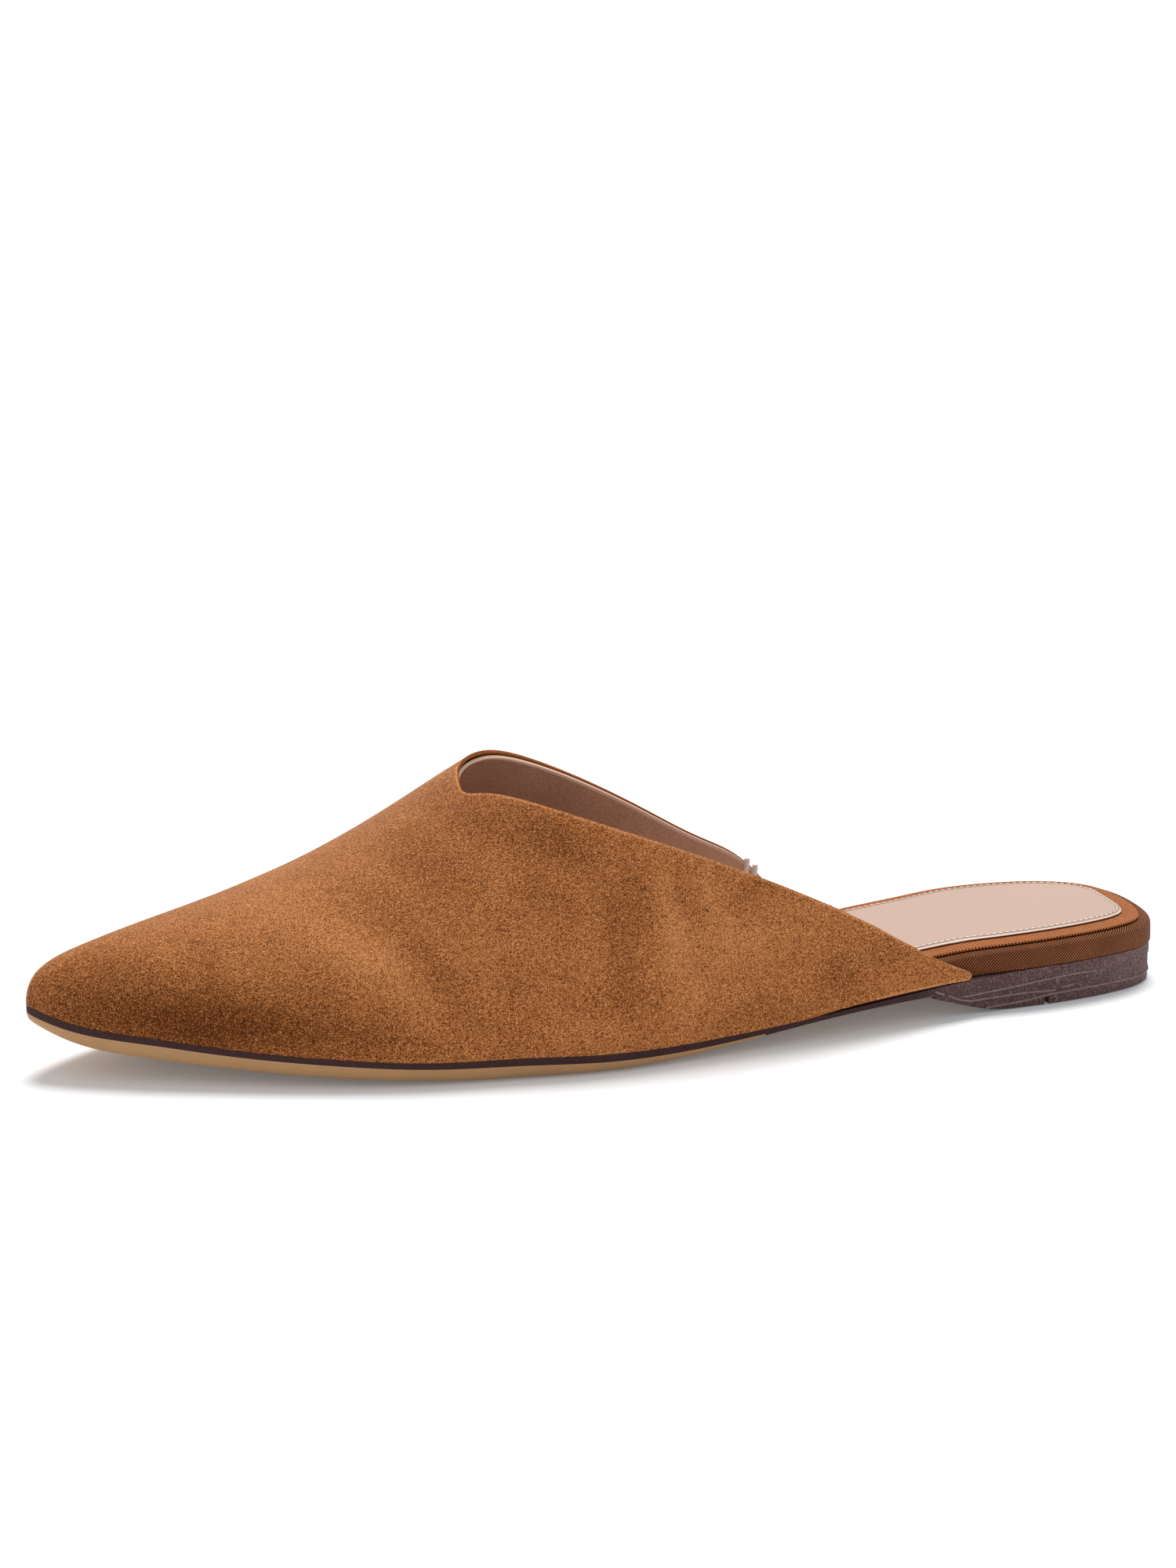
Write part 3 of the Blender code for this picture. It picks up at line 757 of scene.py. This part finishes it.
def is_topline(vert):
    """True on the edge that the foot goes in over: the sheet falls away from it."""
    lower = sum(edge.other_vert(vert).co.z < vert.co.z + 0.2 * MM for edge in vert.link_edges
                if not edge.is_boundary)
    return vert.is_boundary and lower > 0


class FLAT_OT_suede(bpy.types.Operator):
    """Vamp and wings in suede, with its turned edge, creases, brushing, and painted light and shade"""
    bl_idname = "flat.suede"
    bl_label = "Suede upper"

    def execute(self, context):
        settings = context.scene.flat_upper
        mesh, outside, inside = upper_sheets()
        inner_points = [vert.co.copy() for vert in {v for face in inside for v in face.verts}]
        keep_only(mesh, outside)
        mesh = subdivided(mesh, 2)
        edge = top_edge(mesh)
        rim = [vert.co.copy() for vert in mesh.verts if vert.is_boundary]
        piece = add_piece("suede_upper", mesh, [suede_finish(settings), turned_finish(settings)],
                          ["upper"], 60)
        points, normals = points_of(piece.data), normals_of(piece.data)
        wall = distances(points, inner_points)
        moved = points + normals * (both_sides(points, normals, "lift") * MM)[:, None]
        piece.data.vertices.foreach_set("co", moved.astype(np.float32).ravel())
        settle(piece, normals, rim)
        # painted light: the suede is painted lighter where it faces up
        painted_top_light = np.clip(normals[:, 2] * 1.6 - 0.5, 0, 1)
        store(piece, "brush", both_sides(points, normals, "shade") + CREST_PAINTED_LIGHT * painted_top_light)
        store(piece, "edge", distances(points, edge) / MM)
        thin_to_wall(piece, wall, CAD_WALL)
        add_wall(piece, settings.suede, settings.round, turned=1)
        return {"FINISHED"}


class FLAT_OT_lining(bpy.types.Operator):
    """Leather lining inside the suede, its pale edge a little lower, and the bar tacks at its end"""
    bl_idname = "flat.lining"
    bl_label = "Lining"

    def execute(self, context):
        settings = context.scene.flat_upper
        mesh, outside, inside = upper_sheets()
        outer_points = [vert.co.copy() for vert in {v for face in outside for v in face.verts}]
        keep_only(mesh, inside)
        lower_edge(mesh, settings.drop)
        mesh = subdivided(mesh, 2)
        edge = top_edge(mesh)
        rim = [vert.co.copy() for vert in mesh.verts if vert.is_boundary]
        piece = add_piece("lining", mesh, [lining_finish(settings)], (), 60)
        points = points_of(piece.data)
        settle(piece, -normals_of(piece.data), rim)
        store(piece, "edge", distances(points, edge) / MM)
        thin_to_wall(piece, distances(points, outer_points), CAD_WALL)
        add_wall(piece, settings.lining, FOLD)
        tube("bar_tacks", tack_runs(settings.drop / 3), TACK, thread_finish(settings), 6)
        return {"FINISHED"}


def tack_runs(drop):
    """Two threads sewn down inside each wing; those on the inner side come over the lining's edge."""
    walls = bmesh.new()
    walls.from_mesh(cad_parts["upper"].data)
    tree = BVHTree.FromBMesh(walls)
    walls.free()
    runs = []
    for side in (-1, 1):
        for station in TACKS:
            x = HEEL_BACK - station * MM
            rise = [step * 0.1 * MM for step in range(100, 600)]
            hits = [tree.ray_cast(Vector((x, 0, z)), Vector((0, side, 0)), 60 * MM)[0] for z in rise]
            hits = [hit for hit in hits if hit]
            top = hits[-1].z - drop
            sewn = [hit for hit in hits if top - TACK_DOWN < hit.z < top][::4]
            run = [hit + Vector((index * TACK_LEAN, 0, 0)) for index, hit in enumerate(sewn)]
            if side > 0:
                run.append(run[-1] + Vector((0, 0, TACK_OVER)))
            runs.append(run)
    return runs


FOLD = 0.3 * MM                         # rounding of the lining's folded edge
TACKS = (86.6, 88.6)                    # stations of the bar tacks
TACK = 0.65 * MM                        # their radius
TACK_DOWN = 3 * MM                      # how far they run down the wall
TACK_LEAN = 0.05 * MM                   # how far back each of their points lies from the one below
TACK_OVER = 0.9 * MM                    # how far they stand up over the edge


def settle(piece, outward, rim):
    """Seats a sheet of the upper on the sole's edge, and slims the wings' tips; rim: its open edge."""
    points = points_of(piece.data)
    floor = np.zeros(len(points))
    for side in (-1, 1):
        x, z = np.array([(point.x, point.z) for point in rim if point.y * side > 0]).T
        steps = np.arange(x.min(), x.max(), 1.5 * MM)
        lowest = [z[np.abs(x - step) < 1.2 * MM].min(initial=1) for step in steps]
        here = points[:, 1] * side > 0
        floor[here] = np.interp(points[here, 0], steps, lowest)
    height = points[:, 2] - floor
    station = (HEEL_BACK - points[:, 0]) / MM
    out, down, kept = (np.interp(station, SETTLED[0], row) for row in SETTLED[1:])
    near = np.exp(-(height / SETTLE_FADES) ** 2)
    square = np.clip((WING_FRONT - station) / 30, 0, 1)[:, None]
    sideways = np.stack([np.zeros(len(points)), np.sign(points[:, 1])], axis=1)
    level = outward[:, :2] * (1 - square) + sideways * square
    level /= np.linalg.norm(level, axis=1).clip(0.1)[:, None]
    points[:, :2] += level * (out * near * MM)[:, None]
    points[:, 2] = floor + height * kept - down * near * MM
    past = station - TIP
    points[:, 0] -= TIP_FORWARD * np.exp(-(past / TIP_FADES) ** 2)
    points[:, 0] -= TIP_ROUND * np.exp(-(past / CORNER[0]) ** 2 - (height / CORNER[1]) ** 2)
    piece.data.vertices.foreach_set("co", points.astype(np.float32).ravel())


# stations, and at each how far the foot goes out and down in millimetres, and the share of the
# sheet's height that is kept
SETTLED = (
    (50, 54, 60, 68, 77, 86, 95, 115, 240, 256),
    (0.6, 0.8, 0.9, 0.9, 0.8, 0.6, 0.5, 0.42, 0.42, 0.4),
    (0.3, 0.1, -0.25, -0.4, -0.45, -0.3, 0.3, 0.5, 0.5, 0.42),
    (0.65, 0.7, 0.78, 0.9, 0.98, 1, 1, 1, 1, 1))
SETTLE_FADES = 3.0 * MM                 # height above the foot
TIP = 50                                # station of the wings' tips
TIP_FORWARD = 1.1 * MM                  # how far they draw back towards the toe
TIP_FADES = 7                           # over how many millimetres
TIP_ROUND = 1.2 * MM                    # and how much further at their lower corner
CORNER = (2.5, 0.9 * MM)                # the corner's stations and height
WING_FRONT = 110                        # behind this station the foot starts to go straight sideways
CAD_WALL = 2.0 * MM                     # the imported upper's full wall
CREST_PAINTED_LIGHT = 0.05                      # painted light: the suede that faces up is painted lighter


def lower_edge(mesh, drop):
    """Draws the topline's edge back along the sheet, so that it lies below the suede's edge."""
    moves = {}
    for vert in mesh.verts:
        if not is_topline(vert):
            continue
        inner = [edge.other_vert(vert).co for edge in vert.link_edges if not edge.is_boundary]
        way = sum((point - vert.co for point in inner), Vector()) / len(inner)
        station = (HEEL_BACK - vert.co.x) / MM
        share = min(max((station - 120) / 35, WING_DROP), 1)
        moves[vert] = way.normalized() * min(drop * share, way.length / 2)
    for vert, move in moves.items():
        vert.co += move


WING_DROP = 0.35                        # share of the drop that is left along the wings


class FLAT_OT_footbed(bpy.types.Operator):
    """Ribbed ribbon round the insole board and over the footbed's step"""
    bl_idname = "flat.footbed"
    bl_label = "Footbed ribbon"

    def execute(self, context):
        settings = context.scene.flat_footbed
        for node, name, lean, pale in RIBBONS:
            mesh = cad_mesh(node)
            loop = outline(mesh, -1)
            crease(mesh, SHARP)
            mesh = subdivided(mesh, 2)
            finish = ribbon_finish(name, settings, lean, pale)
            piece = add_piece(name, mesh, [finish], [node])
            wrap(piece.data, loop)
        return {"FINISHED"}


# The last number, pale, is painted light: the footbed's step is painted much lighter than the board's
# side.
RIBBONS = (("insole_board", "board_ribbon", -1.0, 0.05), ("footbed_pad", "step_ribbon", 0.35, 0.64))


class FLAT_OT_sock(bpy.types.Operator):
    """Leather sock and the lockstitch round it"""
    bl_idname = "flat.sock"
    bl_label = "Sock"

    def execute(self, context):
        settings = context.scene.flat_footbed
        mesh = cad_mesh("sock")
        loop = outline(mesh, -1)
        crease(mesh, SHARP)
        mesh = subdivided(mesh, 2)
        piece = add_piece("sock_leather", mesh, [sock_finish(settings)], ["sock"])
        wrap(piece.data, loop)
        top = inset_loop(loop, settings.stitch_inset)
        top[:, 2] += SOCK_THICK
        middles, ways = resampled(top, settings.stitch)
        stitches(middles, ways, settings)
        return {"FINISHED"}


SOCK_THICK = 0.5 * MM


def stitches(middles, ways, settings):
    """Lockstitches: plump thread ends to end, each a little skewed to the line."""
    mesh = bmesh.new()
    skew = Matrix.Rotation(STITCH_SKEW, 4, "Z")
    size = Matrix.Diagonal((settings.stitch * 0.38, *STITCH_RADII, 1))
    for middle, way in zip(middles, ways):
        turn = Vector(way).to_track_quat("X", "Z").to_matrix().to_4x4()
        bmesh.ops.create_uvsphere(mesh, u_segments=8, v_segments=6, radius=1,
                                  matrix=Matrix.Translation(middle) @ turn @ skew @ size)
    add_piece("sock_stitches", mesh, [thread_finish(settings)])


STITCH_SKEW = math.radians(8)
STITCH_RADII = (0.2 * MM, 0.16 * MM)    # across the line, and up


class FLAT_OT_sole(bpy.types.Operator):
    """Outsole with its painted edge and natural underside, the heel block and its layer ridges"""
    bl_idname = "flat.sole"
    bl_label = "Sole and heel"

    def execute(self, context):
        settings = context.scene.flat_sole
        paint, natural = paint_finish(settings), natural_finish(settings)
        walls = bmesh.new()
        for node, name, slot in (("outsole", "outsole_leather", "sole_edge"),
                                 ("heel", "heel_block", "heel_block")):
            mesh = cad_mesh(node)
            if node == "outsole":
                loop = outline(mesh, 1)
            for face in mesh.faces:
                face.material_index = int(is_natural(face, node))
            walls.from_mesh(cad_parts[node].data)
            if node == "heel":
                close_block(mesh)
            crease(mesh, SHARP if node == "outsole" else BLOCK_SHARP)
            mesh = subdivided(mesh, 2)
            add_piece(name, mesh, [paint, natural], [node])
        runs = layer_runs(loop, BVHTree.FromBMesh(walls))
        walls.free()
        tube("layer_ridges", runs, settings.ridge, ridge_finish(settings))
        return {"FINISHED"}


def close_block(mesh):
    """Brings the heel block's top up to the outsole, and its front edge up to nothing."""
    top = {vert for face in mesh.faces if face.normal.z > 0.7 for vert in face.verts}
    front = min(vert.co.x for vert in top)
    for vert in mesh.verts:
        if vert in top:
            vert.co.z += BLOCK_RISE
        elif vert.co.x < front + BLOCK_FRONT:
            vert.co.z += FRONT_RISE


BLOCK_SHARP = math.radians(40)          # the heel block's edges that stay sharp
BLOCK_RISE = 0.45 * MM                  # from the heel's solid up into the outsole
BLOCK_FRONT = 1.5 * MM                  # how much of the block counts as its front edge
FRONT_RISE = 0.6 * MM                   # how far that edge comes up


def is_natural(face, node):
    """True on the unpainted faces: under the sole, and the breast of the heel."""
    middle = face.calc_center_median()
    station = (HEEL_BACK - middle.x) / MM
    if node == "heel":
        return face.normal.z < -0.2 and abs(face.normal.y) < 0.3 and station > BREAST_FOOT
    return face.normal.z < (-0.15 if station > WAIST else -0.93) and station > HEEL_END


# The heel's ridges on its outer wall, which the inner one mirrors: stations and heights in millimetres.
LAYERS = [
    [(54.9, 4.5), (43.8, 5.1), (34.9, 5.9), (26.0, 6.5), (16.3, 6.0)],
    [(62.5, 7.1), (55.3, 3.9), (52.6, 3.3), (39.4, 3.5), (31.6, 3.2)],
    [(30.4, 3.6), (26.8, 3.9)],
    [(49.0, 1.2), (39.4, 1.6), (32.6, 2.4), (25.9, 2.6), (16.1, 2.6), (8.1, 2.3), (0.0, 2.3)],
]


def layer_runs(loop, walls):
    """Each ridge as points on the heel's wall, on both sides, joined round the back if it gets there."""
    points, ways = resampled(loop, RIDGE_PITCH)
    runs = []
    for layer in LAYERS:
        stations, heights = zip(*layer[::-1])
        run = []
        for point, way in zip(points, ways):
            station = (HEEL_BACK - point[0]) / MM
            inside = stations[0] - 0.3 <= station <= stations[-1]
            if not inside and run:
                runs.append(run)
                run = []
            if inside:
                out = Vector((way[1], -way[0], 0)).normalized()
                start = Vector((point[0], point[1], np.interp(station, stations, heights) * MM))
                hit = walls.ray_cast(start + out * 12 * MM, -out, 20 * MM)[0]
                if hit:
                    run.append(hit - out * RIDGE_SUNK)
        if run:
            runs.append(run)
    return [run for run in runs if len(run) > 1]


RIDGE_PITCH = 0.8 * MM                  # from point to point along a ridge
RIDGE_SUNK = 0.08 * MM                  # how far its middle lies inside the wall
WAIST = 108.0                           # behind this the rounding under the sole is painted too
HEEL_END = 61.0                         # station of the heel breast's top
BREAST_FOOT = 45                        # and of its foot


class FLAT_OT_stage(bpy.types.Operator):
    """Pale floor, soft studio light and the camera"""
    bl_idname = "flat.stage"
    bl_label = "Stage"

    def execute(self, context):
        settings = context.scene.flat_stage
        make_floor(settings)
        make_lights()
        make_camera(settings)
        return {"FINISHED"}


def make_floor(settings):
    mesh = bmesh.new()
    bmesh.ops.create_grid(mesh, x_segments=2, y_segments=2, size=6)
    data = bpy.data.meshes.new("floor")
    mesh.to_mesh(data)
    mesh.free()
    floor = bpy.data.objects.new("floor", data)
    bpy.context.scene.collection.objects.link(floor)
    made = Finish("floor", {"Roughness": 0.9, "Specular IOR Level": 0.1,
                            "Base Color": (*settings.floor, 1),
                            "Emission Color": (0.78, 0.92, 1, 1), "Emission Strength": 0.1})
    data.materials.append(made.material)


def make_lights():
    scene = bpy.context.scene
    world = bpy.data.worlds.new("studio")
    world.use_nodes = True
    sky = world.node_tree.nodes["Background"]
    sky.inputs["Color"].default_value = (1, 1, 1, 1)
    sky.inputs["Strength"].default_value = ROOM_LIGHT
    scene.world = world
    key = bpy.data.lights.new("key", "SUN")
    key.energy = KEY_LIGHT
    key.angle = math.radians(KEY_SPREAD)
    holder = bpy.data.objects.new("key", key)
    holder.rotation_euler = (-Vector(KEY_FROM)).to_track_quat("-Z", "Y").to_euler()
    scene.collection.objects.link(holder)


ROOM_LIGHT = 0.50                       # strength of the even light from all round
KEY_LIGHT = 2.5                         # strength of the broad light from behind and above
KEY_SPREAD = 26                         # its width seen from the shoe, degrees
KEY_FROM = (0.15, 0.36, 1.0)           # the way to it


def make_camera(settings):
    """A long lens on the outer side, towards the toe, aimed a little above the shoe."""
    a, e = settings.azimuth, settings.elevation
    back = Vector((math.sin(a) * math.cos(e), -math.cos(a) * math.cos(e), math.sin(e)))
    right = Vector((math.cos(a), math.sin(a), 0))
    up = back.cross(right)
    data = bpy.data.cameras.new("camera")
    data.lens = settings.lens
    data.sensor_width = 36
    camera = bpy.data.objects.new("camera", data)
    camera.location = AIM + back * settings.distance
    look = AIM + up * FRAME_UP - right * FRAME_LEFT - camera.location
    camera.rotation_euler = look.to_track_quat("-Z", "Y").to_euler()
    bpy.context.scene.collection.objects.link(camera)
    bpy.context.scene.camera = camera


AIM = Vector((0, 1.17 * MM, 20 * MM))
FRAME_UP = 32.6 * MM                    # the picture's middle above the aim point
FRAME_LEFT = 2.9 * MM                   # and to its left


class FLAT_PT_panel(bpy.types.Panel):
    """Buttons for each part of the shoe and its stage"""
    bl_label = "Backless flat"
    bl_idname = "FLAT_PT_panel"
    bl_space_type = "VIEW_3D"
    bl_region_type = "UI"
    bl_category = "Flat"

    def draw(self, context):
        for operator in OPERATORS:
            self.layout.operator(operator.bl_idname)


SETTINGS = {
    "flat_upper": UpperSettings,
    "flat_footbed": FootbedSettings,
    "flat_sole": SoleSettings,
    "flat_stage": StageSettings,
}
OPERATORS = (FLAT_OT_suede, FLAT_OT_lining, FLAT_OT_footbed, FLAT_OT_sock, FLAT_OT_sole, FLAT_OT_stage)


def register():
    for made in (*SETTINGS.values(), *OPERATORS, FLAT_PT_panel):
        bpy.utils.register_class(made)
    for name, made in SETTINGS.items():
        setattr(bpy.types.Scene, name, bpy.props.PointerProperty(type=made))


def unregister():
    for name in SETTINGS:
        delattr(bpy.types.Scene, name)
    for made in reversed((*SETTINGS.values(), *OPERATORS, FLAT_PT_panel)):
        bpy.utils.unregister_class(made)


def main():
    register()
    bpy.context.scene.view_settings.view_transform = "Standard"
    bpy.ops.flat.suede()
    bpy.ops.flat.lining()
    bpy.ops.flat.footbed()
    bpy.ops.flat.sock()
    bpy.ops.flat.sole()
    bpy.ops.flat.stage()


if __name__ == "__main__":
    main()
